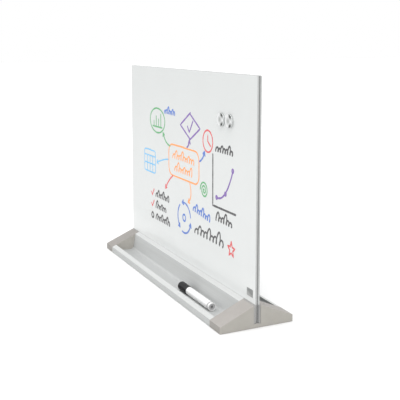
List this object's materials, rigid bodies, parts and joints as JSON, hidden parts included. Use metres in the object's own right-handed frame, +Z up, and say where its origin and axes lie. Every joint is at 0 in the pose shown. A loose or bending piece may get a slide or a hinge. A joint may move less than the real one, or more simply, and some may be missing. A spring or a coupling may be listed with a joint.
{
  "type": "magnetic desk whiteboard easel",
  "caption": "Desk whiteboard: a double-sided magnetic glass board stands in a low base with a pen tray each side, with a drywipe marker and puck magnets.",
  "frame": {"origin": "on the desk, below the middle of the board and of the base", "axes": "+X along the board, -Y towards the front tray with the marker, +Z up"},
  "size_m": [0.6, 0.1456, 0.4386],
  "materials": {
    "aluminium": "satin silver anodised, drawn lengthwise",
    "cap_plastic": "fine matte texture, warm grey",
    "liner_rubber": "matte dark grey",
    "foot_rubber": "matte black",
    "screw_steel": "zinc plated",
    "white_glass": "toughened glass, painted white behind, glossy",
    "backing_steel": "plain sheet",
    "core_board": "matte grey sheet",
    "chrome": "polished",
    "magnet": "nickel plated",
    "marker_white": "gloss white",
    "marker_plug": "satin light grey",
    "marker_black": "satin black",
    "felt": "ink-soaked felt"
  },
  "bodies": {
    "base": {"base_extrusion": "aluminium", "end_cap_left": "cap_plastic", "end_cap_right": "cap_plastic", "bridge_block_left": "cap_plastic", "bridge_block_right": "cap_plastic", "cap_liner_left": "liner_rubber", "cap_liner_right": "liner_rubber", "slot_gasket_front": "liner_rubber", "slot_gasket_rear": "liner_rubber", "setting_blocks": "liner_rubber", "cap_screws_left": "screw_steel", "cap_screws_right": "screw_steel", "foot_front_left": "foot_rubber", "foot_front_right": "foot_rubber", "foot_rear_left": "foot_rubber", "foot_rear_right": "foot_rubber"},
    "board": {"front_glass": "white_glass", "rear_glass": "white_glass", "front_steel": "backing_steel", "rear_steel": "backing_steel", "core_sheet": "core_board"},
    "magnet_left": {"magnet_shell_left": "chrome", "magnet_disc_left": "magnet"},
    "magnet_right": {"magnet_shell_right": "chrome", "magnet_disc_right": "magnet"},
    "marker": {"marker_barrel": "marker_white", "marker_end_plug": "marker_plug", "marker_nib_holder": "marker_black", "marker_nib": "felt", "marker_reservoir": "felt"},
    "marker_cap": {"marker_cap": "marker_black"}
  },
  "joints": [
    {"name": "board_lift", "type": "slide", "parent": "base", "child": "board", "axis": [0, 0, 1], "range_m": [0, 0.045]},
    {"name": "magnet_left_pull", "type": "slide", "parent": "board", "child": "magnet_left", "axis": [0, -1, 0], "range_m": [0, 0.03]},
    {"name": "magnet_right_pull", "type": "slide", "parent": "board", "child": "magnet_right", "axis": [0, -1, 0], "range_m": [0, 0.03]},
    {"name": "marker_lift", "type": "slide", "parent": "base", "child": "marker", "axis": [0, 0, 1], "range_m": [0, 0.06]},
    {"name": "marker_cap_pull", "type": "slide", "parent": "marker", "child": "marker_cap", "axis": [-1, 0, 0], "range_m": [0, 0.045]}
  ]
}
